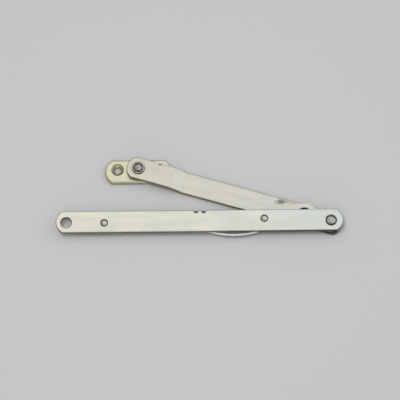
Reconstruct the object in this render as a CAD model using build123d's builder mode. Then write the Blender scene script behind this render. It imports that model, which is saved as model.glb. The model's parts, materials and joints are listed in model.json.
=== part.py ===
from build123d import *

import os
from math import cos, radians, sin

# Window safety stay: a long bar turns on a pin of the window frame, an arm folds under it,
# and a small bracket at the arm's free end is screwed to the sash. A slotted link between
# the bar and the arm limits the opening. All plates lie flat, one layer under the next, and
# the arm's free end is stepped up over the bracket, which lies level with the rest of the arm.
# The origin is the centre of the frame bore, on the underside of the bar. +X runs along
# the bar to the main pivot, and the arm opens towards +Y. Millimetres and degrees.

# Clearances
rivet_fit = 0.02  # radial, between a rivet and the piece that it is fixed in
run_fit = 0.06  # radial, between a rivet and the piece that turns on it
run_gap = 0.1  # between two flat layers that slide on each other
sink_play = 0.15  # between a rivet's lower head and the rim of its countersink
slot_play = 0.3  # between the guide stud and the wall of the link's slot
wire_play = 0.1  # between the spring's wire and what holds it

# Long bar
bar_width = 14.0
bar_thickness = 2.5
bar_shift = 0.5  # the bar's middle line lies this far above the line of the pivots
bar_crown = 4.1  # height of the shallow arc at each end
bar_tail = 6.5  # from the frame bore to the tip
bar_nose = 7.6  # from the main pivot to the tip
frame_bore_diameter = 7.0
pivot_distance = 165.5  # from the frame bore to the main pivot
edge_break = 0.3  # broken edges of the punched strips

# Two punched nicks in the bar's upper far edge
nick_diameter = 2.9
nick_depth = 2.0  # from the bar's far edge inwards
nick_sink = 1.4  # from the bar's upper face down
nick_position = 81.2  # from the frame bore to the first nick
nick_spacing = 4.7

# Arm
arm_width = 14.0
arm_thickness = 3.0
arm_length = 126.0  # from the main pivot to the bracket's pivot
arm_crown = 4.1
arm_nose = 7.4  # from each pivot to the tip
arm_angle = 16.8  # opening from the bar as the stay lies here
closed_opening = 8.8  # opening from the bar with the arm's step close beside the bar
full_opening = 60.0  # opening from the bar at the end of the slot
step_setback = 30.4  # from the bracket's pivot back to the start of the arm's step
step_run = 9.2  # along the arm, between the step's two bends
step_bend = 6.0  # inner radius of each bend

# Limit link, between the bar and the arm
link_width_far = 7.5  # from the link's middle line to its far edge, at the link rivet
link_width_near = 6.3  # to its near edge, at the link rivet
link_tail_far = 6.3  # to its far edge, at the tail
link_tail_near = 2.6  # to its near edge, at the tail
link_thickness = 1.6
link_crown = 4.1
link_nose = 7.4  # from the link rivet to the tip
link_tail = 3.0  # from the end of the slot to the tail's end
link_corner = 2.4  # rounding of the tail's two corners
link_rivet_distance = 17.2  # along the arm, from the main pivot
link_turn_ratio = 1.43  # the link's turn on the arm for each degree that the arm opens
guide_back = 41.7  # from the main pivot back to the guide stud
guide_rise = 1.7  # from the line of the pivots up to the guide stud
slot_points = 9  # places of the guide stud that the slot passes through

# Sash bracket
bracket_length = 42.6
bracket_width = 15.4
bracket_shift = 1.0  # the bracket's middle line lies this far below the line of its holes
bracket_thickness = 3.6
bracket_crown = 4.4
bracket_break = 0.7  # broken upper edge
screw_spacing = 26.6
screw_diameter = 4.4
screw_sink_diameter = 7.6
screw_sink_angle = 90.0

# Rivets and studs. Each is hammered into a 90 degree countersink, which shows as a ring
pivot_diameter = 5.5
pivot_sink_diameter = 7.1
pivot_head_diameter = 8.6
spacer_diameter = 13.0
link_rivet_diameter = 6.0
link_rivet_sink_diameter = 8.6
link_rivet_head_diameter = 8.2
bracket_rivet_diameter = 4.8
bracket_rivet_sink_diameter = 6.0
bracket_rivet_head_diameter = 8.0
head_recess = 0.1  # a lower head lies this far inside the underside round it
washer_diameter = 8.0
washer_thickness = 1.0
washer_break = 0.25
stud_diameter = 3.2
stud_sink_diameter = 4.9
dome_rise = 0.15  # how far a hammered end stands above its face
dome_rim = 0.7  # width of the slope round a hammered end's flat

# Catch spring, a bent wire, and the stud that holds its hook
wire_diameter = 1.6
spring_stud_position = 23.7  # from the frame bore
spring_stud_drop = 0.3  # below the line of the pivots
spring_head_diameter = 8.4
spring_head_height = 1.0
hook_turn = 180.0  # how far the wire's hook goes round the stud, in degrees
bow_start = 79.0  # from the frame bore to where the straight leg bends outwards
bow_length = 52.0
bow_depth = 6.7  # from the leg's line to the meeting point of the bow's two slopes
bow_cut = 3.0  # the wire's end stops this far before the leg's line
bow_radius = 50.0
bow_lead_radius = 12.0

# Layers, from the bar down
bar_top = bar_thickness
link_top = -run_gap
link_low = link_top - link_thickness
arm_top = link_low - run_gap
arm_low = arm_top - arm_thickness
bracket_low = arm_low
bracket_top = bracket_low + bracket_thickness
step_rise = bracket_thickness + run_gap
washer_low = arm_top + step_rise + run_gap
washer_top = washer_low + washer_thickness
wire_level = arm_top / 2

# The arm's step lies a fixed way from the bracket, which turns under the raised end
step_position = arm_length - step_setback

# Pivots in plan
pivot = Vector(pivot_distance, 0)
arm_direction = Vector(-cos(radians(arm_angle)), sin(radians(arm_angle)))
bracket_pivot = pivot + arm_direction * arm_length
link_rivet_place = pivot + arm_direction * link_rivet_distance
guide_stud_place = Vector(pivot_distance - guide_back, guide_rise)
spring_stud_place = Vector(spring_stud_position, -spring_stud_drop)
link_direction = (guide_stud_place - link_rivet_place).normalized()

UP = (Align.CENTER, Align.CENTER, Align.MIN)
DOWN = (Align.CENTER, Align.CENTER, Align.MAX)


def strip(first, last, half_width, crown):
    """Outline of a flat strip along X with a shallow arc at each end."""
    with BuildSketch() as outline:
        with BuildLine():
            Line((first + crown, half_width), (last - crown, half_width))
            ThreePointArc((last - crown, half_width), (last, 0), (last - crown, -half_width))
            Line((last - crown, -half_width), (first + crown, -half_width))
            ThreePointArc((first + crown, -half_width), (first, 0), (first + crown, half_width))
        make_face()
    return outline.sketch


def hammered_rivet(place, diameter, sink_diameter, low, face, rise):
    """Shank from low up to a face, flared into the countersink there and hammered to a flat dome."""
    shank = diameter / 2
    flare = (diameter + sink_diameter) / 4
    seat = face - sink_diameter / 2 + 2 * run_fit
    with BuildPart() as rivet:
        with BuildSketch(Plane(origin=(place.X, place.Y, 0), x_dir=(1, 0, 0), z_dir=(0, -1, 0))):
            with BuildLine():
                Polyline(
                    (0, low),
                    (shank, low),
                    (shank, seat + shank),
                    (flare, seat + flare),
                    (flare - dome_rim, face + rise),
                    (0, face + rise),
                    close=True,
                )
            make_face()
        revolve(axis=Axis((place.X, place.Y, 0), (0, 0, 1)))
    return rivet.part


def sunk_head(place, head_diameter, diameter, low):
    """Lower head of a rivet, a 90 degree cone that narrows upwards to the shank."""
    with BuildPart() as head:
        with Locations((place.X, place.Y, low)):
            Cone(head_diameter / 2, diameter / 2, (head_diameter - diameter) / 2, align=UP)
    return head.part


def turned(place, centre, angle):
    """A place in plan turned about a centre, counter-clockwise."""
    return centre + (place - centre).rotate(Axis.Z, angle)


def guide_place(opening):
    """Where the guide stud stands at an opening, seen from the link as it lies here."""
    swing = opening - arm_angle
    seen_from_arm = turned(guide_stud_place, pivot, swing)
    return turned(seen_from_arm, link_rivet_place, -link_turn_ratio * swing)


# Long bar: punched strip with the frame bore, the sunk rivet holes and the two nicks
with BuildPart() as bar:
    with BuildSketch(Plane((0, bar_shift, 0))):
        add(strip(-bar_tail, pivot_distance + bar_nose, bar_width / 2, bar_crown))
    extrude(amount=bar_thickness)
    rims = bar.faces().sort_by(Axis.Z)
    chamfer(rims[0].edges() + rims[-1].edges(), edge_break)
    Hole(frame_bore_diameter / 2)
    with Locations((pivot.X, pivot.Y, bar_top)):
        CounterSinkHole(pivot_diameter / 2 + rivet_fit, pivot_sink_diameter / 2, counter_sink_angle=90)
    with Locations(
        (guide_stud_place.X, guide_stud_place.Y, bar_top),
        (spring_stud_place.X, spring_stud_place.Y, bar_top),
    ):
        CounterSinkHole(stud_diameter / 2 + rivet_fit, stud_sink_diameter / 2, counter_sink_angle=90)
    nick_floor = bar_shift + bar_width / 2 - nick_depth
    with BuildSketch(Plane.XY.offset(bar_top)):
        with Locations((nick_position, nick_floor), (nick_position + nick_spacing, nick_floor)):
            Circle(nick_diameter / 2, align=(Align.CENTER, Align.MIN))
            with Locations((0, nick_diameter / 2)):
                Rectangle(nick_diameter, nick_depth, align=(Align.CENTER, Align.MIN))
    extrude(amount=-nick_sink, mode=Mode.SUBTRACT)
bar.part.label = "bar"

# Arm: punched strip, stepped up at its free end, that turns on the pivot rivet and on the bracket's rivet
with BuildPart() as arm:
    across = Vector(arm_direction.Y, -arm_direction.X)
    with BuildSketch(Plane(origin=(pivot.X, pivot.Y, arm_low), x_dir=arm_direction, z_dir=across)):
        with BuildLine():
            FilletPolyline(
                (-arm_nose - arm_crown, 0),
                (step_position, 0),
                (step_position + step_run, step_rise),
                (arm_length + arm_nose + arm_crown, step_rise),
                radius=[step_bend + arm_thickness, step_bend],
            )
            offset(amount=arm_thickness, side=Side.LEFT)
        make_face()
    extrude(amount=arm_width, both=True)
    with BuildSketch(Plane(origin=(pivot.X, pivot.Y, arm_low), x_dir=arm_direction, z_dir=(0, 0, 1))):
        add(strip(-arm_nose, arm_length + arm_nose, arm_width / 2, arm_crown))
    extrude(amount=arm_thickness + step_rise, mode=Mode.INTERSECT)
    rims = arm.edges().filter_by(Axis.Z, reverse=True).filter_by(Axis((0, 0, 0), across), reverse=True)
    chamfer(rims, edge_break)
    with Locations((bracket_pivot.X, bracket_pivot.Y, washer_low)):
        Hole(bracket_rivet_diameter / 2 + run_fit)
    with Locations(Location((pivot.X, pivot.Y, arm_low), (180, 0, 0))):
        CounterSinkHole(
            pivot_diameter / 2 + run_fit,
            pivot_head_diameter / 2 + head_recess + sink_play,
            counter_sink_angle=90,
        )
    with Locations(Location((link_rivet_place.X, link_rivet_place.Y, arm_low), (180, 0, 0))):
        CounterSinkHole(
            link_rivet_diameter / 2 + rivet_fit,
            link_rivet_head_diameter / 2 + head_recess + sink_play,
            counter_sink_angle=90,
        )
arm.part.label = "arm"

# Path of the guide stud in the link, from closed to fully open, and the walls of the slot beside it
slot_shares = [i / (slot_points - 1) for i in range(slot_points)]
half_slot = stud_diameter / 2 + slot_play
travel = full_opening - closed_opening
slot_path = Spline(*[guide_place(closed_opening + travel * share) for share in slot_shares])


def slot_wall(share, distance):
    """A point of the slot's wall, beside the stud's path."""
    return slot_path @ share + (slot_path % share).rotate(Axis.Z, 90) * distance


# Limit link: a tapered strip with the curved slot that the guide stud runs in
with BuildPart() as limit_link:
    link_plane = Plane(
        origin=(link_rivet_place.X, link_rivet_place.Y, link_low), x_dir=link_direction, z_dir=(0, 0, 1)
    )
    slot_end = link_plane.to_local_coords(guide_place(full_opening)).X
    tail_end = slot_end + half_slot + link_tail
    shoulder = link_crown - link_nose
    with BuildSketch(link_plane):
        with BuildLine():
            ThreePointArc((shoulder, link_width_near), (-link_nose, 0), (shoulder, -link_width_far))
            Polyline(
                (shoulder, -link_width_far),
                (tail_end, -link_tail_far),
                (tail_end, link_tail_near),
                (shoulder, link_width_near),
            )
        outline = make_face()
        fillet(outline.vertices().sort_by(link_plane.location.x_axis)[-2:], link_corner)
    extrude(amount=link_thickness)
    with BuildSketch(Plane.XY.offset(link_low)):
        with BuildLine():
            far_wall = Spline(*[slot_wall(share, half_slot) for share in slot_shares])
            near_wall = Spline(*[slot_wall(share, -half_slot) for share in slot_shares])
            ThreePointArc(far_wall @ 0, slot_path @ 0 - (slot_path % 0) * half_slot, near_wall @ 0)
            ThreePointArc(far_wall @ 1, slot_path @ 1 + (slot_path % 1) * half_slot, near_wall @ 1)
        make_face()
    extrude(amount=link_thickness, mode=Mode.SUBTRACT)
    with Locations((link_rivet_place.X, link_rivet_place.Y, link_top)):
        CounterSinkHole(
            link_rivet_diameter / 2 + run_fit, link_rivet_sink_diameter / 2, counter_sink_angle=90
        )
limit_link.part.label = "limit_link"

# Sash bracket: thick plate with two countersunk screw holes and a sunk rivet between them
with BuildPart() as sash_bracket:
    with BuildSketch(Plane((bracket_pivot.X, bracket_pivot.Y - bracket_shift, bracket_low))):
        add(strip(-bracket_length / 2, bracket_length / 2, bracket_width / 2, bracket_crown))
    extrude(amount=bracket_thickness)
    rims = sash_bracket.faces().sort_by(Axis.Z)
    chamfer(rims[-1].edges(), bracket_break)
    with Locations((bracket_pivot.X, bracket_pivot.Y, bracket_top)):
        with GridLocations(screw_spacing, 0, 2, 1):
            CounterSinkHole(
                screw_diameter / 2, screw_sink_diameter / 2, counter_sink_angle=screw_sink_angle
            )
    with Locations(Location((bracket_pivot.X, bracket_pivot.Y, bracket_low), (180, 0, 0))):
        CounterSinkHole(
            bracket_rivet_diameter / 2 + rivet_fit,
            bracket_rivet_head_diameter / 2 + head_recess + sink_play,
            counter_sink_angle=90,
        )
sash_bracket.part.label = "sash_bracket"

# Main pivot: a sunk head under the arm, hammered flush into the bar
head_low = arm_low + head_recess
with BuildPart() as pivot_rivet:
    add(hammered_rivet(pivot, pivot_diameter, pivot_sink_diameter, head_low, bar_top, dome_rise))
    add(sunk_head(pivot, pivot_head_diameter, pivot_diameter, head_low))
pivot_rivet.part.label = "pivot_rivet"

# Spacer ring that keeps the arm one link's thickness below the bar
with BuildPart() as pivot_spacer:
    with BuildSketch(Plane((pivot.X, pivot.Y, link_low))):
        Circle(spacer_diameter / 2)
        Circle(pivot_diameter / 2 + run_fit, mode=Mode.SUBTRACT)
    extrude(amount=-link_low)
pivot_spacer.part.label = "pivot_spacer"

# Rivet that carries the link on the arm, flush on both sides
with BuildPart() as link_rivet:
    add(
        hammered_rivet(
            link_rivet_place, link_rivet_diameter, link_rivet_sink_diameter, head_low, link_top, 0
        )
    )
    add(sunk_head(link_rivet_place, link_rivet_head_diameter, link_rivet_diameter, head_low))
link_rivet.part.label = "link_rivet"

# Rivet that carries the bracket under the arm's raised end, hammered over a washer
with BuildPart() as bracket_rivet:
    add(
        hammered_rivet(
            bracket_pivot,
            bracket_rivet_diameter,
            bracket_rivet_sink_diameter,
            head_low,
            washer_top,
            dome_rise,
        )
    )
    add(sunk_head(bracket_pivot, bracket_rivet_head_diameter, bracket_rivet_diameter, head_low))
bracket_rivet.part.label = "bracket_rivet"

with BuildPart() as bracket_washer:
    with BuildSketch(Plane((bracket_pivot.X, bracket_pivot.Y, washer_low))):
        Circle(washer_diameter / 2)
    extrude(amount=washer_thickness)
    chamfer(bracket_washer.edges().group_by(Axis.Z)[-1], washer_break)
    with Locations((bracket_pivot.X, bracket_pivot.Y, washer_top)):
        CounterSinkHole(
            bracket_rivet_diameter / 2 + rivet_fit,
            bracket_rivet_sink_diameter / 2,
            counter_sink_angle=90,
        )
bracket_washer.part.label = "bracket_washer"

# Guide stud: stands down from the bar through the link's slot
with BuildPart() as guide_stud:
    add(
        hammered_rivet(
            guide_stud_place, stud_diameter, stud_sink_diameter, link_low, bar_top, dome_rise
        )
    )
guide_stud.part.label = "guide_stud"

# Spring stud: its shank carries the wire's hook, and its head keeps the wire up
with BuildPart() as spring_stud:
    add(
        hammered_rivet(
            spring_stud_place, stud_diameter, stud_sink_diameter, arm_top, bar_top, dome_rise
        )
    )
    with Locations((spring_stud_place.X, spring_stud_place.Y, arm_top)):
        Cylinder(spring_head_diameter / 2, spring_head_height, align=DOWN)
spring_stud.part.label = "spring_stud"

# Catch spring: a hook round its stud, a straight leg, and a bow out past the bar's near edge
hook_radius = stud_diameter / 2 + wire_play + wire_diameter / 2
leg_line = spring_stud_place.Y - hook_radius
bow_half = bow_length / 2
bow_middle = Vector(bow_start + bow_half, leg_line - bow_depth)
wire_end = Vector(bow_start + bow_length - bow_cut * bow_half / bow_depth, leg_line - bow_cut)
bow_room = (wire_end - bow_middle).length * bow_half / bow_depth - wire_diameter
with BuildLine(Plane.XY.offset(wire_level)) as wire_path:
    CenterArc((spring_stud_place.X, spring_stud_place.Y), hook_radius, 270 - hook_turn, hook_turn)
    FilletPolyline(
        (spring_stud_place.X, leg_line),
        (bow_start, leg_line),
        (bow_middle.X, bow_middle.Y),
        (wire_end.X, wire_end.Y),
        radius=[bow_lead_radius, min(bow_radius, bow_room)],
    )
wire = wire_path.wires()[0]
with BuildPart() as catch_spring:
    with BuildSketch(Plane(origin=wire @ 0, z_dir=wire % 0)):
        Circle(wire_diameter / 2)
    sweep(path=wire)
catch_spring.part.label = "catch_spring"

os.makedirs("parts", exist_ok=True)
export_step(bar.part, "parts/bar.step")
export_step(arm.part, "parts/arm.step")
export_step(limit_link.part, "parts/limit_link.step")
export_step(sash_bracket.part, "parts/sash_bracket.step")
export_step(pivot_rivet.part, "parts/pivot_rivet.step")
export_step(pivot_spacer.part, "parts/pivot_spacer.step")
export_step(link_rivet.part, "parts/link_rivet.step")
export_step(bracket_rivet.part, "parts/bracket_rivet.step")
export_step(bracket_washer.part, "parts/bracket_washer.step")
export_step(guide_stud.part, "parts/guide_stud.step")
export_step(spring_stud.part, "parts/spring_stud.step")
export_step(catch_spring.part, "parts/catch_spring.step")
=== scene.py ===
"""Looks of a window safety stay: plated strips, a bracket, hammered rivets and a bright wire spring."""
import json
from collections import defaultdict, namedtuple
from math import atan2, cos, pi, radians, sin

import bpy
from bpy.props import FloatProperty, FloatVectorProperty, PointerProperty
from mathutils import Matrix, Vector

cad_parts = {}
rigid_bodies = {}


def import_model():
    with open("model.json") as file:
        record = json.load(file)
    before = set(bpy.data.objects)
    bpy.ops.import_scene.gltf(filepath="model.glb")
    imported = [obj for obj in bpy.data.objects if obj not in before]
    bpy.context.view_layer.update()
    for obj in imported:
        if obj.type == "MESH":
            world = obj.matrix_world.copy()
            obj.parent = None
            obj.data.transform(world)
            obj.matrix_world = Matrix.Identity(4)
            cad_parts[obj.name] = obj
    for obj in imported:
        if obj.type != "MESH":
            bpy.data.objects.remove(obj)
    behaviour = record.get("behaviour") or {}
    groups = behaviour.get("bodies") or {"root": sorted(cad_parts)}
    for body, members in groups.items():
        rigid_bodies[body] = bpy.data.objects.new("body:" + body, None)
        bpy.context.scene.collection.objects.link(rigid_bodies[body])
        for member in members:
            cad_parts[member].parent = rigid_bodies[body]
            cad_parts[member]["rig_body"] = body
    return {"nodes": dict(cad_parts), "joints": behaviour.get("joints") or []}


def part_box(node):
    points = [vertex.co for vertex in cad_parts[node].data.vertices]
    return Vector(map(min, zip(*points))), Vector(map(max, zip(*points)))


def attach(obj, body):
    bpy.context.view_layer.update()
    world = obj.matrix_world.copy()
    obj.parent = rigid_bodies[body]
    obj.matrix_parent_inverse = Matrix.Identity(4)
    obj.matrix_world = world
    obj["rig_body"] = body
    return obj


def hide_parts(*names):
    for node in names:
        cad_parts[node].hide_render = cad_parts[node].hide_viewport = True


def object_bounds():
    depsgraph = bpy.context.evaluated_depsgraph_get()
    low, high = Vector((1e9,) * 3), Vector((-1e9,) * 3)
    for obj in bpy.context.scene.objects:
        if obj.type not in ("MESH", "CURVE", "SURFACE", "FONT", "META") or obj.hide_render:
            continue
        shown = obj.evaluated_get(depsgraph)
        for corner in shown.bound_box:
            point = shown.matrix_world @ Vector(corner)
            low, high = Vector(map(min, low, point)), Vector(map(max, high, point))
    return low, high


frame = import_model()
CAD_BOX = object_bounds()

bl_info = {
    "name": "Window safety stay",
    "version": (1, 0, 0),
    "blender": (4, 5, 0),
    "location": "View3D > Sidebar > Window stay",
    "description": "Builds the finished pieces of a window safety stay round its packed model",
    "category": "Add Mesh",
}

MM = 0.001

# What counts as joined, level, flat, sharp or smooth
JOINED = 0.001 * MM
LEVEL = radians(0.5)
FLAT_ENOUGH = 0.9
SHARP = radians(38)
PLATE_SMOOTH = radians(40)
TURNED_SMOOTH = radians(35)
WIRE_SMOOTH = radians(60)

# How finely edges are rounded, pieces are turned and hammered ends are drawn
EDGE_STEPS = 3
TURN_STEPS = 72
DOME_RINGS = 9
DOME_POWER = 4
ROUNDING_MIDDLE = 0.3
AREA_WEIGHT = 100

# Depth of the fine relief in each finish
ZINC_RELIEF = 0.006 * MM
WIRE_RELIEF = 0.006 * MM
STEEL_RELIEF = 0.05 * MM

# How strongly the finer marks show in each finish
STREAK_TONE = 0.88
SIDE_DULLING = 0.12
SCRATCH_RELIEF = 0.8
STEEL_PATCH_TONE = 0.5
STEEL_GREASE_AND_SHADE_DEPTH = 0.9
STEEL_SIDE_DEPTH = 0.6
STEEL_CLOUD_RELIEF = 0.3
WIRE_PATCH_TONE = 0.7

# Sets of scratches: turn in plan, waves for a metre along and across them, and a shift of its own
SCRATCHES = ((0.14, 40, 2300, 0.1), (-0.22, 55, 2500, 0.5), (0.7, 70, 2100, 0.9))

FLOOR_RADIUS = 4
FLOOR_SIDES = 96
SENSOR_WIDTH = 36

# Places of the frame that several pieces share
JOINT_PLACE = {joint["name"]: Vector(joint["pos_m"]) for joint in frame["joints"]}
PIVOT = JOINT_PLACE["arm_swing"]
LINK_PIVOT = JOINT_PLACE["link_turn"]
BRACKET_PIVOT = JOINT_PLACE["bracket_swivel"]
FRAME_BORE = Vector((0, 0, 0))


def middle_of(node_name):
    """Middle of a node's box, in metres."""
    low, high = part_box(node_name)
    return (low + high) / 2


GUIDE_STUD = middle_of("guide_stud")
SPRING_STUD = middle_of("spring_stud")

Strip = namedtuple("Strip", "finish start end tones widths")
Ring = namedtuple("Ring", "centre radius spread depth")
Smear = namedtuple("Smear", "finish depth place size on_outline", defaults=(False,))
Softbox = namedtuple("Softbox", "place size mirrored", defaults=(True,))

# Rings of painted shade and dirt round the bores and rivets of the strips, where their grooves and walls
# lie in shade
RINGS = {
    "bar": (
        Ring(FRAME_BORE, 3.5 * MM, 0.42 * MM, 0.75),
        Ring(PIVOT, 3.3 * MM, 0.6 * MM, 1.0),
        Ring(GUIDE_STUD, 2.2 * MM, 0.4 * MM, 0.85),
        Ring(SPRING_STUD, 2.2 * MM, 0.4 * MM, 0.85),
    ),
    "arm": (Ring(BRACKET_PIVOT, 4.15 * MM, 0.4 * MM, 0.8),),
    "limit_link": (Ring(LINK_PIVOT, 4.2 * MM, 0.7 * MM, 0.95),),
}

# Smears on the strips, with place and size along and across the bar in millimetres
SMEARS = {
    "bar": (
        # Painted shade in the two dents of the bar's far edge
        Smear("grime", 1.0, (81.2, 6.6), (2.1, 1.5)),
        Smear("grime", 1.0, (85.9, 6.6), (2.3, 1.5)),
        Smear("grime", 0.8, (117.4, -0.6), (0.5, 0.5)),
        Smear("grime", 0.5, (167.6, 5.4), (0.6, 0.6)),
        # Painted shade: a brown band along the right half of the bar's near edge, and painted dark
        # reflection round both ends of the bar
        Smear("oil", 1.0, (148.0, -6.4), (48.0, 2.0), on_outline=True),
        Smear("oil", 1.0, (171.5, -1.0), (9.0, 14.0), on_outline=True),
        Smear("oil", 0.9, (-5.5, -1.0), (8.0, 12.0), on_outline=True),
    ),
    "arm": (
        Smear("smudge", 0.95, (135.0, 13.9), (5.4, 2.4)),
        Smear("rust", 0.75, (141.4, 13.0), (5.0, 1.4)),
        Smear("smudge", 0.8, (58.6, 38.4), (1.8, 1.1)),
        # Painted shade on the arm's end where it shows below the bar
        Smear("oil", 1.0, (164.5, -6.6), (12.0, 1.9)),
    ),
    # Painted shade along the edges of the limit link
    "limit_link": (Smear("oil", 1.0, (130.0, 6.0), (90.0, 60.0), on_outline=True),),
}

# Lamps, with place from the middle of the picture and size in metres
SOFTBOXES = {
    "key": Softbox((-0.2, -0.02, 1.0), (0.3, 0.3), mirrored=False),
    "sky": Softbox((0, 0.41, 1.13), (1.2, 0.8)),
    "side": Softbox((0.9, 0.16, 0.7), (1.0, 0.8)),
    "front": Softbox((0, -0.74, 0.88), (0.8, 0.5)),
    "low_front": Softbox((0, -1.1, 0.4), (1.2, 0.35)),
}


def colour_prop(name, description, default):
    """A colour that a user can change."""
    return FloatVectorProperty(
        name=name, description=description, default=default, subtype="COLOR", size=3, min=0, max=1
    )


def length_prop(name, description, millimetres):
    """A length, given in millimetres and kept in metres."""
    return FloatProperty(
        name=name,
        description=description,
        default=millimetres * MM,
        unit="LENGTH",
        subtype="DISTANCE",
        precision=5,
    )


def share_prop(name, description, default):
    """A share from 0 to 1."""
    return FloatProperty(
        name=name, description=description, default=default, subtype="FACTOR", min=0, max=1
    )


def angle_prop(name, description, degrees):
    """An angle, given in degrees and kept in radians."""
    return FloatProperty(
        name=name, description=description, default=radians(degrees), unit="ROTATION", subtype="ANGLE"
    )


def power_prop(name, description, watts):
    """A lamp's power."""
    return FloatProperty(name=name, description=description, default=watts, unit="POWER", min=0)


class StayFinish(bpy.types.PropertyGroup):
    """Colours and gloss of the stay's finishes, with the colours of painted shade and painted reflection
    among them.
    """

    bar_warm: colour_prop("Bar, bore end", "Warm zinc at the bar's bore end", (0.69, 0.68, 0.57))
    bar_cool: colour_prop("Bar, pivot end", "Greenish zinc at the bar's pivot end", (0.585, 0.62, 0.575))
    arm_warm: colour_prop("Arm, bracket end", "Warm zinc at the arm's bracket end", (0.605, 0.58, 0.485))
    arm_cool: colour_prop("Arm, pivot end", "Greyer zinc at the arm's pivot end", (0.545, 0.555, 0.52))
    link_zinc: colour_prop("Link", "Zinc of the limit link", (0.575, 0.57, 0.51))
    bracket_zinc: colour_prop("Bracket", "Yellow zinc of the bracket", (0.63, 0.615, 0.44))
    bracket_pale: colour_prop("Bracket clouds", "Paler clouds on the bracket", (0.62, 0.6, 0.48))
    # Sheared sides: partly their own duller finish, partly painted shade, darker than the faces because
    # they lie in shade
    bar_side: colour_prop("Bar side", "Sheared sides of the bar", (0.2, 0.17, 0.11))
    arm_side: colour_prop("Arm side", "Sheared olive sides of the arm", (0.3, 0.265, 0.175))
    link_side: colour_prop("Link side", "Dark sheared sides of the limit link", (0.1, 0.08, 0.05))
    bracket_side: colour_prop("Bracket side", "Sheared yellow sides of the bracket", (0.5, 0.45, 0.31))
    # Painted shade on the upright sides of rivets, washer and spacer; the small specks that share this
    # colour are real
    steel_side: colour_prop("Steel side", "Sides of rivets and washers, and specks", (0.14, 0.112, 0.07))
    # Painted reflection: this dark colour stands in for the dark surroundings that the rounded edges mirror
    dark_edge_reflection: colour_prop("Rolled edge", "Dull rounded edges that the punch drew in", (0.11, 0.1, 0.075))
    scratch: colour_prop("Scratch", "Bright metal in scratches", (0.84, 0.84, 0.81))
    rivet: colour_prop("Rivet", "Hammered ends of the three rivets", (0.45, 0.45, 0.4))
    stud: colour_prop("Stud", "Paler hammered ends of the two studs", (0.57, 0.57, 0.51))
    washer: colour_prop("Washer", "Turned washer and spacer", (0.55, 0.54, 0.46))
    spring: colour_prop("Spring", "Bright spring wire", (0.9, 0.9, 0.9))
    # Painted shade and dirt: this colour darkens grooves, bore walls and the two nicks as painted shade,
    # and marks a few small real spots
    grime: colour_prop("Grime", "Old grease in grooves and corners", (0.035, 0.032, 0.026))
    smudge: colour_prop("Smudge", "Dark greenish smudge on the arm", (0.165, 0.18, 0.135))
    rust: colour_prop("Rust", "Faint rust where the link rubs", (0.53, 0.385, 0.265))
    # Painted shade: the brown colour of the smears along edges and ends
    oil: colour_prop("Oil", "Brown old oil where the plates meet", (0.075, 0.056, 0.03))
    zinc_gloss: share_prop("Zinc roughness", "Roughness of the plated faces", 0.36)
    rivet_gloss: share_prop("Rivet roughness", "Roughness of the hammered ends", 0.34)
    spring_gloss: share_prop("Spring roughness", "Roughness of the wire", 0.42)
    streak_depth: share_prop("Streaks", "How much the rolled streaks darken the zinc", 0.45)
    scratch_depth: share_prop("Scratches", "How much of the bright metal shows in scratches", 0.38)
    speck_depth: share_prop("Specks", "How dark the small specks are", 0.36)
    # Strengths of the painted dark reflection on the rounded edges of the strips and of the bracket
    strip_edge_reflection: share_prop("Strip edges", "How dull the rounded edges of the strips are", 0.9)
    bracket_edge_reflection: share_prop("Bracket edges", "How dull the bracket's rounded edges are", 0.15)
    dent_depth: share_prop("Dents", "How deep the finest dents of the hammered ends are", 0.5)


class StayShape(bpy.types.PropertyGroup):
    """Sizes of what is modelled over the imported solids."""

    strip_rim: length_prop("Strip rim", "Rounding where the flats of the strips end", 0.25)
    bracket_rim: length_prop("Bracket rim", "Rounding where the flats of the bracket end", 0.3)
    side_edge: length_prop("Side edge", "Rounding on the other edges of strips and bracket", 0.1)
    link_edge: length_prop("Link edge", "Rounding on the edges of the limit link", 0.17)
    washer_edge: length_prop("Washer edge", "Rounding on the rims of washer and spacer", 0.12)
    washer_sink: length_prop("Washer sink", "Countersink of the washer's bore", 0.6)
    spacer_sink: length_prop("Spacer sink", "Countersink of the spacer's bore", 0.1)
    bore_play: length_prop("Bore play", "Between a shank and the bore of its washer or spacer", 0.02)
    pivot_shank: length_prop("Pivot shank", "Diameter of the main pivot's shank", 5.5)
    pivot_flare: length_prop("Pivot flare", "Widest diameter of the main pivot's hammered end", 6.3)
    link_shank: length_prop("Link rivet shank", "Diameter of the link rivet's shank", 6.0)
    link_flare: length_prop("Link rivet flare", "Widest diameter of the link rivet's upper end", 7.3)
    bracket_shank: length_prop("Bracket rivet shank", "Diameter of the bracket rivet's shank", 4.8)
    bracket_flare: length_prop("Bracket rivet flare", "Widest diameter of its hammered end", 5.4)
    stud_shank: length_prop("Stud shank", "Diameter of the two small studs", 3.2)
    stud_flare: length_prop("Stud flare", "Widest diameter of the studs' hammered ends", 4.05)
    dome_drop: length_prop("Dome drop", "From a hammered end's top down to its rim", 0.43)
    dent_start: share_prop("Dent start", "Undented share of the dome drop, from its rim", 0.1)
    peening: length_prop("Peening", "How uneven a hammered end is", 0.12)
    peen_size: length_prop("Peen size", "Size of one hammer dent", 1.6)
    head_height: length_prop("Spring head", "Height of the spring stud's lower head", 1.0)
    screw_spacing: length_prop("Screw spacing", "Between the bracket's two screw holes", 26.6)
    screw_sink: length_prop("Screw sink", "Diameter of the screw holes' countersinks", 7.6)
    # Spreads of the rings of painted shade at rivet rims, washer bores and screw holes
    rivet_grease_and_shade: share_prop("Rivet grease", "Spread of the grease at a rivet's rim, for its flare", 0.16)
    stud_grease_and_shade: share_prop("Stud grease", "Spread of the grease at a stud's rim, for its flare", 0.1)
    washer_grease_and_shade: length_prop("Washer grease", "Spread of the grease in a washer's or spacer's bore", 0.45)
    screw_grease_and_shade: length_prop("Screw grease", "Spread of the grease round the screw holes", 0.35)


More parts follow.
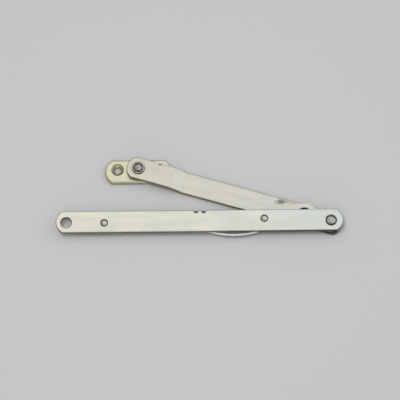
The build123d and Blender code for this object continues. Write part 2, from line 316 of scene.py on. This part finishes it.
class StayStage(bpy.types.PropertyGroup):
    """Camera, light and floor."""

    elevation: angle_prop("Elevation", "Camera's angle above the floor", 70)
    roll: angle_prop("Roll", "Camera's turn about its own line of sight", 0.6)
    distance: length_prop("Distance", "From the camera to the stay", 900)
    width: length_prop("Width", "What the picture shows from side to side", 251.8)
    aim_along: length_prop("Aim along", "Middle of the picture along the bar", 83.75)
    aim_across: length_prop("Aim across", "Middle of the picture across the bar", 15.1)
    pale: colour_prop("Pale grey", "Floor of the studio", (0.517, 0.515, 0.514))
    zenith: share_prop("Zenith", "Brightness of the studio overhead", 0.46)
    horizon: share_prop("Horizon", "Brightness of the studio at eye level", 0.42)
    key: power_prop("Key", "Power of the small softbox overhead", 3.9)
    sky: power_prop("Sky", "Power of the broad softbox that the plates mirror", 2.55)
    side: power_prop("Side", "Power of the softbox on the right", 2.7)
    front: power_prop("Front", "Power of the softbox that brightens the wire", 1.0)
    low_front: power_prop("Low front", "Power of the low softbox that the countersinks mirror", 0.6)
    side_tint: colour_prop("Side tint", "Cool light of the softbox on the right", (0.81, 0.88, 1.0))


def add_node(tree, kind, inputs=None, **settings):
    """Adds a node, sets its options, and sets or links its inputs."""
    made = tree.nodes.new(kind)
    for key, value in settings.items():
        setattr(made, key, value)
    for key, value in (inputs or {}).items():
        if isinstance(value, bpy.types.NodeSocket):
            tree.links.new(value, made.inputs[key])
        else:
            made.inputs[key].default_value = value
    return made


def calc(tree, operation, first, second=0.0):
    """One step of arithmetic on sockets or plain numbers."""
    return add_node(tree, "ShaderNodeMath", {0: first, 1: second}, operation=operation).outputs[0]


def plus(tree, first, second):
    """The sum of two values."""
    return calc(tree, "ADD", first, second)


def times(tree, first, second):
    """The product of two values."""
    return calc(tree, "MULTIPLY", first, second)


def vector_calc(tree, operation, first, second):
    """One step of arithmetic on vectors, part by part."""
    made = add_node(tree, "ShaderNodeVectorMath", {0: first, 1: second}, operation=operation)
    return made.outputs["Vector"]


def part_of(tree, vector, index):
    """One part of a vector."""
    return add_node(tree, "ShaderNodeSeparateXYZ", {0: vector}).outputs[index]


def plan_reach(tree, vector):
    """Length of a vector in plan, with its height left out."""
    flat = vector_calc(tree, "MULTIPLY", vector, (1, 1, 0))
    return add_node(tree, "ShaderNodeVectorMath", {0: flat}, operation="LENGTH").outputs["Value"]


def ramp(tree, value, low, high, first=0.0, last=1.0):
    """Maps low..high smoothly to first..last, and holds the ends."""
    inputs = {"Value": value, "From Min": low, "From Max": high, "To Min": first, "To Max": last}
    made = add_node(tree, "ShaderNodeMapRange", inputs, interpolation_type="SMOOTHSTEP")
    return made.outputs["Result"]


def noise(tree, vector, scale, detail):
    """Soft noise from 0 to 1, with its scale in waves for a metre."""
    inputs = {"Vector": vector, "Scale": scale, "Detail": detail}
    return add_node(tree, "ShaderNodeTexNoise", inputs).outputs[0]


def stretched_noise(tree, vector, scales, detail):
    """Soft noise with a scale of its own along each axis."""
    return noise(tree, vector_calc(tree, "MULTIPLY", vector, scales), 1.0, detail)


def opaque(colour):
    """A colour with full alpha."""
    return (colour[0], colour[1], colour[2], 1.0)


def darkened(colour, share):
    """A colour with its parts multiplied by a share."""
    return [share * part for part in colour]


def blend(tree, share, first, second):
    """Mixes two colours, given as sockets or plain colours."""
    made = tree.nodes.new("ShaderNodeMix")
    made.data_type = "RGBA"
    for index, value in ((0, share), (6, first), (7, second)):
        if isinstance(value, bpy.types.NodeSocket):
            tree.links.new(value, made.inputs[index])
        else:
            made.inputs[index].default_value = value if index == 0 else opaque(value)
    return made.outputs[2]


VECTOR, VALUE, COLOUR = "NodeSocketVector", "NodeSocketFloat", "NodeSocketColor"


def new_effect(name, inputs, outputs):
    """An empty node group with named sockets, and its two end nodes."""
    tree = bpy.data.node_groups.new(name, "ShaderNodeTree")
    for label, kind in inputs.items():
        tree.interface.new_socket(label, in_out="INPUT", socket_type=kind)
    for label, kind in outputs.items():
        tree.interface.new_socket(label, in_out="OUTPUT", socket_type=kind)
    return tree, tree.nodes.new("NodeGroupInput").outputs, tree.nodes.new("NodeGroupOutput").inputs


def make_plating_clouds():
    """A slow drift of colour along a thin zinc plating, with soft clouds."""
    inputs = {"Vector": VECTOR, "Near": COLOUR, "Far": COLOUR, "Reach": VALUE}
    tree, got, out = new_effect("Plating clouds", inputs, {"Color": COLOUR})
    share = calc(tree, "DIVIDE", part_of(tree, got["Vector"], 0), got["Reach"])
    cloud = calc(tree, "SUBTRACT", noise(tree, got["Vector"], 55, 3), 0.5)
    clouded = plus(tree, share, times(tree, cloud, 1.7))
    tree.links.new(blend(tree, ramp(tree, clouded, 0.0, 1.0), got["Near"], got["Far"]), out["Color"])


def make_rolled_grain():
    """Fine lines along a rolled strip, and soft clouds, as values about one half."""
    tree, got, out = new_effect("Rolled grain", {"Vector": VECTOR}, {"Streak": VALUE, "Cloud": VALUE})
    fine = stretched_noise(tree, got["Vector"], (60, 2600, 900), 4)
    broad = stretched_noise(tree, got["Vector"], (22, 420, 200), 3)
    tree.links.new(plus(tree, times(tree, fine, 0.6), times(tree, broad, 0.4)), out["Streak"])
    tree.links.new(noise(tree, got["Vector"], 180, 4), out["Cloud"])


def make_handling_marks():
    """Thin scratches in several directions, and small dark specks."""
    tree, got, out = new_effect("Handling marks", {"Vector": VECTOR}, {"Scratch": VALUE, "Speck": VALUE})
    lines = 0.0
    for turn, along, across, shift in SCRATCHES:
        inputs = {"Vector": got["Vector"], "Rotation": (0, 0, turn), "Location": (shift, shift, 0)}
        turned = add_node(tree, "ShaderNodeMapping", inputs).outputs["Vector"]
        line = ramp(tree, stretched_noise(tree, turned, (along, across, 300), 1), 0.72, 0.76)
        lines = calc(tree, "MAXIMUM", lines, line)
    sparse = ramp(tree, noise(tree, got["Vector"], 45, 2), 0.48, 0.66)
    tree.links.new(times(tree, lines, sparse), out["Scratch"])
    tree.links.new(ramp(tree, noise(tree, got["Vector"], 900, 2), 0.7, 0.78), out["Speck"])


def make_broken_edges():
    """Masks for sloped edges and for upright sides, from the normal."""
    tree, got, out = new_effect("Broken edges", {"Normal": VECTOR}, {"Edge": VALUE, "Side": VALUE})
    facing_up = calc(tree, "ABSOLUTE", part_of(tree, got["Normal"], 2))
    rising = ramp(tree, facing_up, 0.25, 0.5)
    falling = ramp(tree, facing_up, 0.78, 0.92, first=1.0, last=0.0)
    tree.links.new(times(tree, rising, falling), out["Edge"])
    tree.links.new(ramp(tree, facing_up, 0.1, 0.35, first=1.0, last=0.0), out["Side"])


def make_ring_grime_and_shade():
    """A ring of painted shade and dirt round an upright axis, darkening the grooves round rivets and the
    walls of bores.
    """
    inputs = {"Vector": VECTOR, "Centre": VECTOR, "Radius": VALUE, "Spread": VALUE}
    tree, got, out = new_effect("Ring grime", inputs, {"Mask": VALUE})
    reach = plan_reach(tree, vector_calc(tree, "SUBTRACT", got["Vector"], got["Centre"]))
    miss = calc(tree, "ABSOLUTE", calc(tree, "SUBTRACT", reach, got["Radius"]))
    ring = ramp(tree, calc(tree, "DIVIDE", miss, got["Spread"]), 0.2, 1.0, first=1.0, last=0.0)
    uneven = ramp(tree, noise(tree, got["Vector"], 700, 2), 0.3, 0.6, first=0.35)
    tree.links.new(times(tree, ring, uneven), out["Mask"])


def make_smear():
    """One soft uneven smear on a face."""
    inputs = {"Vector": VECTOR, "Centre": VECTOR, "Size": VECTOR}
    tree, got, out = new_effect("Smear", inputs, {"Mask": VALUE})
    away = vector_calc(tree, "SUBTRACT", got["Vector"], got["Centre"])
    reach = plan_reach(tree, vector_calc(tree, "DIVIDE", away, got["Size"]))
    ragged = plus(tree, reach, times(tree, noise(tree, got["Vector"], 900, 3), 0.9))
    tree.links.new(ramp(tree, ragged, 0.6, 1.5, first=1.0, last=0.0), out["Mask"])


EFFECTS = {
    "Plating clouds": make_plating_clouds,
    "Rolled grain": make_rolled_grain,
    "Handling marks": make_handling_marks,
    "Broken edges": make_broken_edges,
    "Ring grime": make_ring_grime_and_shade,
    "Smear": make_smear,
}


def effect(tree, name, inputs):
    """Places an effect in a material and returns its outputs."""
    if name not in bpy.data.node_groups:
        EFFECTS[name]()
    placed = tree.nodes.new("ShaderNodeGroup")
    placed.node_tree = bpy.data.node_groups[name]
    for key, value in inputs.items():
        if isinstance(value, bpy.types.NodeSocket):
            tree.links.new(value, placed.inputs[key])
        elif placed.inputs[key].type == "RGBA":
            placed.inputs[key].default_value = opaque(value)
        else:
            placed.inputs[key].default_value = value
    return placed.outputs


def new_material(name):
    """A material with its tree emptied, and the piece's own coordinates."""
    material = bpy.data.materials.new(name)
    material.use_nodes = True
    material.node_tree.nodes.clear()
    return material, material.node_tree, material.node_tree.nodes.new("ShaderNodeTexCoord").outputs


def local_coords(tree, coords, origin, turn=0.0):
    """The piece's coordinates, seen from an origin and turned in plan."""
    inputs = {"Vector": coords["Object"], "Location": origin, "Rotation": (0, 0, turn)}
    return add_node(tree, "ShaderNodeMapping", inputs, vector_type="TEXTURE").outputs["Vector"]


def ring_mask(tree, coords, centre, radius, spread):
    """Where a ring of painted shade and dirt lies on a piece."""
    inputs = {"Vector": coords["Object"], "Centre": centre, "Radius": radius, "Spread": spread}
    return effect(tree, "Ring grime", inputs)["Mask"]


def smear_mask(tree, coords, smear):
    """Where a smear lies on a piece."""
    along, across = smear.place
    length, width = smear.size
    inputs = {
        "Vector": coords["Object"],
        "Centre": (along * MM, across * MM, 0),
        "Size": (length * MM, width * MM, 1),
    }
    return effect(tree, "Smear", inputs)["Mask"]


def finish_metal(tree, colour, roughness, height, relief):
    """Joins colour, roughness and relief to a metal shader."""
    bump = add_node(tree, "ShaderNodeBump", {"Height": height, "Distance": relief, "Strength": 1.0})
    shader = add_node(
        tree,
        "ShaderNodeBsdfPrincipled",
        {"Base Color": colour, "Roughness": roughness, "Normal": bump.outputs["Normal"], "Metallic": 1.0},
    )
    add_node(tree, "ShaderNodeOutputMaterial", {"Surface": shader.outputs["BSDF"]})


def plated_material(name, start, line, tones, edge_depth, rings=(), smears=()):
    """Satin zinc on a punched plate, with grain along a line, scratches, dirt, sheared sides partly
    darkened as painted shade, rounded edges with a painted dark reflection, and rings and smears of painted
    shade.
    """
    look = bpy.context.scene.stay_finish
    material, tree, coords = new_material(name)
    local = local_coords(tree, coords, start, atan2(line.y, line.x))
    near, far, side = tones
    drift = {"Vector": local, "Near": near, "Far": far, "Reach": line.length}
    clouds = effect(tree, "Plating clouds", drift)
    grain = effect(tree, "Rolled grain", {"Vector": local})
    marks = effect(tree, "Handling marks", {"Vector": local})
    edges = effect(tree, "Broken edges", {"Normal": coords["Normal"]})
    streaks = ramp(tree, grain["Streak"], 0.48, 0.7, last=look.streak_depth)
    colour = blend(tree, streaks, clouds["Color"], darkened(near, STREAK_TONE))
    colour = blend(tree, times(tree, marks["Scratch"], look.scratch_depth), colour, look.scratch)
    colour = blend(tree, times(tree, marks["Speck"], look.speck_depth), colour, look.steel_side)
    # Painted reflection: rounded edges take the dark edge colour in patches, for the dark surroundings they
    # mirror
    patchy = ramp(tree, grain["Cloud"], 0.35, 0.65, first=0.5 * edge_depth, last=edge_depth)
    colour = blend(tree, times(tree, edges["Edge"], patchy), colour, look.dark_edge_reflection)
    # Painted shade: upright sides take the darker side colour, which is partly their sheared finish
    colour = blend(tree, edges["Side"], colour, side)
    # Painted shade: rings darken the grooves round rivets and the walls of bores
    for ring in rings:
        mask = ring_mask(tree, coords, ring.centre, ring.radius, ring.spread)
        colour = blend(tree, times(tree, mask, ring.depth), colour, look.grime)
    outline = calc(tree, "MAXIMUM", edges["Edge"], edges["Side"])
    for smear in smears:
        mask = times(tree, smear_mask(tree, coords, smear), smear.depth)
        # Smears on the outline only: painted shade and painted dark reflection along edges and sides
        if smear.on_outline:
            mask = times(tree, mask, outline)
        colour = blend(tree, mask, colour, getattr(look, smear.finish))
    rough = ramp(tree, grain["Streak"], 0.3, 0.7, look.zinc_gloss - 0.04, look.zinc_gloss + 0.06)
    rough = plus(tree, rough, times(tree, edges["Side"], SIDE_DULLING))
    height = calc(tree, "SUBTRACT", grain["Streak"], times(tree, marks["Scratch"], SCRATCH_RELIEF))
    finish_metal(tree, colour, rough, height, ZINC_RELIEF)
    return material


def steel_material(name, centre, colour, gloss, grease_and_shade, dent_depth):
    """Bare hammered or turned steel, with a ring of painted shade and dirt given as radius and spread, and
    upright sides darkened as painted shade.
    """
    look = bpy.context.scene.stay_finish
    material, tree, coords = new_material(name)
    foot = Vector((centre.x, centre.y, 0))
    local = local_coords(tree, coords, foot)
    cloud = noise(tree, local, 650, 3)
    dent = add_node(tree, "ShaderNodeTexVoronoi", {"Vector": local, "Scale": 900.0}, feature="SMOOTH_F1")
    toned = blend(tree, ramp(tree, cloud, 0.35, 0.65), colour, darkened(colour, STEEL_PATCH_TONE))
    # Painted shade: a dark ring at the rim of a hammered end or in a washer's bore, where the groove lies
    # in shade
    greased_and_shaded = times(tree, ring_mask(tree, coords, foot, *grease_and_shade), STEEL_GREASE_AND_SHADE_DEPTH)
    toned = blend(tree, greased_and_shaded, toned, look.grime)
    edges = effect(tree, "Broken edges", {"Normal": coords["Normal"]})
    # Painted shade: upright steel sides are darkened
    toned = blend(tree, times(tree, edges["Side"], STEEL_SIDE_DEPTH), toned, look.steel_side)
    rough = ramp(tree, cloud, 0.3, 0.7, gloss - 0.07, gloss + 0.09)
    clouded = times(tree, cloud, STEEL_CLOUD_RELIEF)
    height = plus(tree, times(tree, dent.outputs[0], dent_depth), clouded)
    finish_metal(tree, toned, rough, height, STEEL_RELIEF)
    return material


def wire_material(name):
    """Drawn spring wire: bright, with faint draw lines and a few dull patches."""
    look = bpy.context.scene.stay_finish
    material, tree, coords = new_material(name)
    drawn = stretched_noise(tree, coords["Object"], (40, 2200, 2200), 3)
    patch = noise(tree, coords["Object"], 260, 3)
    dull = darkened(look.spring, WIRE_PATCH_TONE)
    colour = blend(tree, ramp(tree, patch, 0.5, 0.72, last=0.7), look.spring, dull)
    rough = ramp(tree, patch, 0.35, 0.7, look.spring_gloss - 0.05, look.spring_gloss + 0.12)
    finish_metal(tree, colour, rough, drawn, WIRE_RELIEF)
    return material


def dress(piece, material):
    """Gives a piece one material."""
    piece.data.materials.clear()
    piece.data.materials.append(material)


def stand_for(piece, node_name):
    """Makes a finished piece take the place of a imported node."""
    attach(piece, frame["nodes"][node_name]["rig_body"])
    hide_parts(node_name)


def pick(piece):
    """Makes one object the only selected one, and active."""
    bpy.ops.object.select_all(action="DESELECT")
    piece.select_set(True)
    bpy.context.view_layer.objects.active = piece


def merged_copy(node_name, name):
    """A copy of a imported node's form, with its loose triangles joined up."""
    piece = bpy.data.objects.new(name, frame["nodes"][node_name].data.copy())
    bpy.context.scene.collection.objects.link(piece)
    pick(piece)
    bpy.ops.object.mode_set(mode="EDIT")
    bpy.ops.mesh.select_mode(type="EDGE")
    bpy.ops.mesh.select_all(action="SELECT")
    bpy.ops.mesh.remove_doubles(threshold=JOINED)
    bpy.ops.mesh.dissolve_limited(angle_limit=LEVEL)
    bpy.ops.mesh.select_all(action="DESELECT")
    bpy.ops.object.mode_set(mode="OBJECT")
    return piece


def ends_flat(faces):
    """Whether the edge between two faces ends a flat, and the other face falls away from it."""
    flats = [face for face in faces if abs(face.normal.z) > FLAT_ENOUGH]
    others = [face for face in faces if abs(face.normal.z) <= FLAT_ENOUGH]
    if len(flats) != 1 or len(others) != 1:
        return False
    return (others[0].center - flats[0].center).dot(flats[0].normal) < 0


def round_rims(piece, width):
    """Rounds over the edges where a plate's flats end."""
    beside = defaultdict(list)
    for face in piece.data.polygons:
        for key in face.edge_keys:
            beside[key].append(face)
    for edge in piece.data.edges:
        edge.select = ends_flat(beside[edge.key])
    bpy.ops.object.mode_set(mode="EDIT")
    bpy.ops.mesh.bevel(
        offset=width, segments=EDGE_STEPS, affect="EDGES", clamp_overlap=False, loop_slide=False
    )
    bpy.ops.object.mode_set(mode="OBJECT")


def soft_copy(node_name, name, edge_width, rim_width=0):
    """A packed plate's form with the rims of its flats and its other sharp edges rounded over."""
    piece = merged_copy(node_name, name)
    if rim_width:
        round_rims(piece, rim_width)
    rounding = piece.modifiers.new("edges", "BEVEL")
    rounding.width = edge_width
    rounding.segments = EDGE_STEPS
    rounding.limit_method = "ANGLE"
    rounding.angle_limit = SHARP
    rounding.use_clamp_overlap = False
    rounding.loop_slide = False
    bpy.ops.object.modifier_apply(modifier=rounding.name)
    bpy.ops.object.shade_smooth_by_angle(angle=PLATE_SMOOTH)
    levelled = piece.modifiers.new("levelled", "WEIGHTED_NORMAL")
    levelled.keep_sharp = True
    levelled.weight = AREA_WEIGHT
    bpy.ops.object.modifier_apply(modifier=levelled.name)
    return piece


def turned_piece(name, centre, profile):
    """Turns a profile of (radius, level) points about an upright axis."""
    bpy.ops.object.select_all(action="DESELECT")
    radius, level = profile[0]
    bpy.ops.mesh.primitive_plane_add(size=MM, location=(centre.x + radius, centre.y, level))
    piece = bpy.context.active_object
    piece.name = name
    bpy.ops.object.mode_set(mode="EDIT")
    bpy.ops.mesh.select_mode(type="VERT")
    bpy.ops.mesh.select_all(action="SELECT")
    bpy.ops.mesh.merge(type="CENTER")
    for next_radius, next_level in profile[1:]:
        step = (next_radius - radius, 0, next_level - level)
        bpy.ops.mesh.extrude_region_move(TRANSFORM_OT_translate={"value": step})
        radius, level = next_radius, next_level
    bpy.ops.mesh.select_all(action="SELECT")
    bpy.ops.mesh.spin(steps=TURN_STEPS, angle=2 * pi, center=(centre.x, centre.y, 0), axis=(0, 0, 1))
    bpy.ops.mesh.select_all(action="SELECT")
    bpy.ops.mesh.remove_doubles(threshold=JOINED)
    bpy.ops.mesh.normals_make_consistent(inside=False)
    bpy.ops.object.mode_set(mode="OBJECT")
    bpy.ops.object.transform_apply(location=True, rotation=True, scale=True)
    return piece


def dome_profile(radius, top, drop):
    """Points of a hammered end, from the middle of its top out to its rim."""
    shares = [i / DOME_RINGS for i in range(DOME_RINGS + 1)]
    return [(radius * share, top - drop * share**DOME_POWER) for share in shares]


def hammer(piece, level, depth, size):
    """Dents all of a piece that lies above a level."""
    group = piece.vertex_groups.new(name="hammered")
    group.add([v.index for v in piece.data.vertices if v.co.z > level], 1.0, "REPLACE")
    dents = bpy.data.textures.new(piece.name + "_dents", "CLOUDS")
    dents.noise_scale = size
    dents.noise_depth = 1
    blows = piece.modifiers.new("blows", "DISPLACE")
    blows.texture = dents
    blows.texture_coords = "LOCAL"
    blows.direction = "Z"
    blows.strength = depth
    blows.mid_level = 1.0
    blows.vertex_group = group.name
    pick(piece)
    bpy.ops.object.modifier_apply(modifier=blows.name)
    piece.vertex_groups.remove(piece.vertex_groups["hammered"])


class STAY_OT_plates(bpy.types.Operator):
    """Finish the bar, the arm and the limit link as punched, zinc plated strips"""

    bl_idname = "stay.plates"
    bl_label = "Plated strips"

    def execute(self, context):
        look = context.scene.stay_finish
        shape = context.scene.stay_shape
        strips = {
            "bar": Strip(
                finish="zinc_bar",
                start=FRAME_BORE,
                end=PIVOT,
                tones=(look.bar_warm, look.bar_cool, look.bar_side),
                widths=(shape.side_edge, shape.strip_rim),
            ),
            "arm": Strip(
                finish="zinc_arm",
                start=PIVOT,
                end=BRACKET_PIVOT,
                tones=(look.arm_cool, look.arm_warm, look.arm_side),
                widths=(shape.side_edge, shape.strip_rim),
            ),
            "limit_link": Strip(
                finish="zinc_link",
                start=LINK_PIVOT,
                end=GUIDE_STUD,
                tones=(look.link_zinc, look.arm_cool, look.link_side),
                widths=(shape.link_edge,),
            ),
        }
        for node_name, strip in strips.items():
            piece = soft_copy(node_name, "plated_" + node_name, *strip.widths)
            material = plated_material(
                strip.finish,
                strip.start,
                strip.end - strip.start,
                strip.tones,
                look.strip_edge_reflection,
                RINGS[node_name],
                SMEARS[node_name],
            )
            dress(piece, material)
            stand_for(piece, node_name)
        return {"FINISHED"}


class STAY_OT_bracket(bpy.types.Operator):
    """Finish the sash bracket with rounded edges and yellower plating"""

    bl_idname = "stay.bracket"
    bl_label = "Sash bracket"

    def execute(self, context):
        look = context.scene.stay_finish
        shape = context.scene.stay_shape
        low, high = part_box("sash_bracket")
        start = Vector((low.x, BRACKET_PIVOT.y, 0))
        line = Vector((high.x - low.x, 0, 0))
        tones = (look.bracket_zinc, look.bracket_pale, look.bracket_side)
        half_spacing = Vector((shape.screw_spacing / 2, 0, 0))
        screws = (BRACKET_PIVOT - half_spacing, BRACKET_PIVOT + half_spacing)
        # Painted shade round the countersinks of the screw holes
        rings = [Ring(screw, shape.screw_sink / 2, shape.screw_grease_and_shade, depth=0.85) for screw in screws]
        piece = soft_copy("sash_bracket", "plated_bracket", shape.side_edge, shape.bracket_rim)
        dress(piece, plated_material("zinc_bracket", start, line, tones, look.bracket_edge_reflection, rings))
        stand_for(piece, "sash_bracket")
        return {"FINISHED"}


class STAY_OT_rivets(bpy.types.Operator):
    """Model the rivets and studs with hammered upper ends"""

    bl_idname = "stay.rivets"
    bl_label = "Hammered rivets"

    def execute(self, context):
        look = context.scene.stay_finish
        shape = context.scene.stay_shape
        sizes = {
            "pivot_rivet": (shape.pivot_shank, shape.pivot_flare),
            "link_rivet": (shape.link_shank, shape.link_flare),
            "bracket_rivet": (shape.bracket_shank, shape.bracket_flare),
            "guide_stud": (shape.stud_shank, shape.stud_flare),
            "spring_stud": (shape.stud_shank, shape.stud_flare),
        }
        for node_name, (shank, flare) in sizes.items():
            low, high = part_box(node_name)
            centre = (low + high) / 2
            rim = high.z - shape.dome_drop
            profile = dome_profile(flare / 2, high.z, shape.dome_drop)
            profile.append((shank / 2, rim - (flare - shank) / 2))
            profile += self.lower_end(node_name, shank / 2, (high.x - low.x) / 2, low.z, shape.head_height)
            piece = turned_piece("hammered_" + node_name, centre, profile)
            hammer(piece, rim + shape.dent_start * shape.dome_drop, shape.peening, shape.peen_size)
            pick(piece)
            bpy.ops.object.shade_smooth_by_angle(angle=TURNED_SMOOTH)
            is_stud = node_name.endswith("stud")
            tone = look.stud if is_stud else look.rivet
            grease_and_shade = (flare / 2, flare * (shape.stud_grease_and_shade if is_stud else shape.rivet_grease_and_shade))
            name = "steel_" + node_name
            dress(piece, steel_material(name, centre, tone, look.rivet_gloss, grease_and_shade, look.dent_depth))
            stand_for(piece, node_name)
        return {"FINISHED"}

    def lower_end(self, node_name, shank, head, level, head_height):
        """Profile below the shank: plain on the guide stud, a head on the spring stud, else a flare."""
        if node_name == "guide_stud":
            return [(shank, level), (0, level)]
        if node_name == "spring_stud":
            top = level + head_height
            return [(shank, top), (head, top), (head, level), (0, level)]
        return [(shank, level + head - shank), (head, level), (0, level)]


class STAY_OT_washers(bpy.types.Operator):
    """Model the washer under the bracket rivet's end and the spacer at the main pivot"""

    bl_idname = "stay.washers"
    bl_label = "Washer and spacer"

    def execute(self, context):
        look = context.scene.stay_finish
        shape = context.scene.stay_shape
        fits = {
            "bracket_washer": (shape.bracket_shank, shape.washer_sink),
            "pivot_spacer": (shape.pivot_shank, shape.spacer_sink),
        }
        for node_name, (shank, sink) in fits.items():
            low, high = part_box(node_name)
            centre = (low + high) / 2
            bore = shank / 2 + shape.bore_play
            rim = (high.x - low.x) / 2
            edge = shape.washer_edge
            profile = [
                (bore, low.z),
                (rim, low.z),
                (rim, high.z - edge),
                (rim - ROUNDING_MIDDLE * edge, high.z - ROUNDING_MIDDLE * edge),
                (rim - edge, high.z),
                (bore + sink, high.z),
                (bore, high.z - sink),
                (bore, low.z),
            ]
            piece = turned_piece("turned_" + node_name, centre, profile)
            pick(piece)
            bpy.ops.object.shade_smooth_by_angle(angle=TURNED_SMOOTH)
            grease_and_shade = (bore + sink, shape.washer_grease_and_shade)
            name = "steel_" + node_name
            dress(piece, steel_material(name, centre, look.washer, look.zinc_gloss, grease_and_shade, dent_depth=0.0))
            stand_for(piece, node_name)
        return {"FINISHED"}


class STAY_OT_spring(bpy.types.Operator):
    """Finish the catch spring as bright drawn wire"""

    bl_idname = "stay.spring"
    bl_label = "Catch spring"

    def execute(self, context):
        piece = merged_copy("catch_spring", "drawn_catch_spring")
        bpy.ops.object.shade_smooth_by_angle(angle=WIRE_SMOOTH)
        dress(piece, wire_material("spring_wire"))
        stand_for(piece, "catch_spring")
        return {"FINISHED"}


class STAY_OT_stage(bpy.types.Operator):
    """Lay the floor, hang the soft lights and set the camera"""

    bl_idname = "stay.stage"
    bl_label = "Stage"

    def execute(self, context):
        stage = context.scene.stay_stage
        aim = Vector((stage.aim_along, stage.aim_across, 0))
        self.floor(context, stage)
        self.surroundings(context, stage)
        for name, softbox in SOFTBOXES.items():
            self.hang(context, name, softbox, aim, getattr(stage, name))
        bpy.data.lights["side"].color = stage.side_tint
        self.camera(context, stage, aim)
        context.scene.view_settings.view_transform = "Standard"
        return {"FINISHED"}

    def floor(self, context, stage):
        """A plain matt floor under the stay."""
        bpy.ops.object.select_all(action="DESELECT")
        bpy.ops.mesh.primitive_circle_add(
            vertices=FLOOR_SIDES,
            radius=FLOOR_RADIUS,
            fill_type="NGON",
            location=(stage.aim_along, 0, CAD_BOX[0][2]),
        )
        floor = context.active_object
        floor.name = "floor"
        bpy.ops.object.transform_apply(location=True)
        material, tree, _ = new_material("pale_floor")
        inputs = {"Base Color": opaque(stage.pale), "Roughness": 0.9, "Specular IOR Level": 0.1}
        matt = add_node(tree, "ShaderNodeBsdfPrincipled", inputs)
        add_node(tree, "ShaderNodeOutputMaterial", {"Surface": matt.outputs["BSDF"]})
        dress(floor, material)

    def surroundings(self, context, stage):
        """A plain white studio, brighter overhead than at eye level."""
        world = bpy.data.worlds.new("studio")
        world.use_nodes = True
        tree = world.node_tree
        tree.nodes.clear()
        coords = add_node(tree, "ShaderNodeTexCoord").outputs["Generated"]
        level = ramp(tree, part_of(tree, coords, 2), 0.02, 0.55, stage.horizon, stage.zenith)
        white = add_node(tree, "ShaderNodeBackground", {"Color": (1, 1, 1, 1), "Strength": level})
        add_node(tree, "ShaderNodeOutputWorld", {"Surface": white.outputs["Background"]})
        context.scene.world = world

    def hang(self, context, name, softbox, aim, power):
        """A rectangular lamp that faces the stay, and that its metal mirrors or not."""
        lamp = bpy.data.lights.new(name, "AREA")
        lamp.shape = "RECTANGLE"
        lamp.size, lamp.size_y = softbox.size
        lamp.energy = power
        place = aim + Vector(softbox.place)
        hung = bpy.data.objects.new(name, lamp)
        hung.location = place
        hung.rotation_euler = (aim - place).to_track_quat("-Z", "Y").to_euler()
        hung.visible_glossy = softbox.mirrored
        context.scene.collection.objects.link(hung)

    def camera(self, context, stage, aim):
        """A camera above the near side of the bar, at the picture's angle."""
        lens = bpy.data.cameras.new("camera")
        lens.sensor_width = SENSOR_WIDTH
        lens.lens = SENSOR_WIDTH * stage.distance / stage.width
        seen_from = Vector((0, -cos(stage.elevation), sin(stage.elevation)))
        camera = bpy.data.objects.new("camera", lens)
        turn = (-seen_from).to_track_quat("-Z", "Y").to_matrix() @ Matrix.Rotation(-stage.roll, 3, "Z")
        camera.matrix_world = Matrix.Translation(aim + seen_from * stage.distance) @ turn.to_4x4()
        context.scene.collection.objects.link(camera)
        context.scene.camera = camera


class STAY_PT_panel(bpy.types.Panel):
    """The stay's pieces and settings"""

    bl_idname = "STAY_PT_panel"
    bl_label = "Window stay"
    bl_space_type = "VIEW_3D"
    bl_region_type = "UI"
    bl_category = "Window stay"

    def draw(self, context):
        for operator in OPERATORS:
            self.layout.operator(operator.bl_idname)
        for name, group in SETTINGS.items():
            box = self.layout.box()
            for setting in group.__annotations__:
                box.prop(getattr(context.scene, name), setting)


SETTINGS = {"stay_finish": StayFinish, "stay_shape": StayShape, "stay_stage": StayStage}
OPERATORS = (
    STAY_OT_plates,
    STAY_OT_bracket,
    STAY_OT_rivets,
    STAY_OT_washers,
    STAY_OT_spring,
    STAY_OT_stage,
)


def register():
    """Adds the settings, the operators and the panel."""
    for name, group in SETTINGS.items():
        bpy.utils.register_class(group)
        setattr(bpy.types.Scene, name, PointerProperty(type=group))
    for shown in (*OPERATORS, STAY_PT_panel):
        bpy.utils.register_class(shown)


def unregister():
    """Takes the panel, the operators and the settings away again."""
    for shown in reversed((*OPERATORS, STAY_PT_panel)):
        bpy.utils.unregister_class(shown)
    for name, group in SETTINGS.items():
        delattr(bpy.types.Scene, name)
        bpy.utils.unregister_class(group)


def main():
    """Builds every piece and the stage."""
    register()
    bpy.ops.stay.plates()
    bpy.ops.stay.bracket()
    bpy.ops.stay.rivets()
    bpy.ops.stay.washers()
    bpy.ops.stay.spring()
    bpy.ops.stay.stage()


if __name__ == "__main__":
    main()
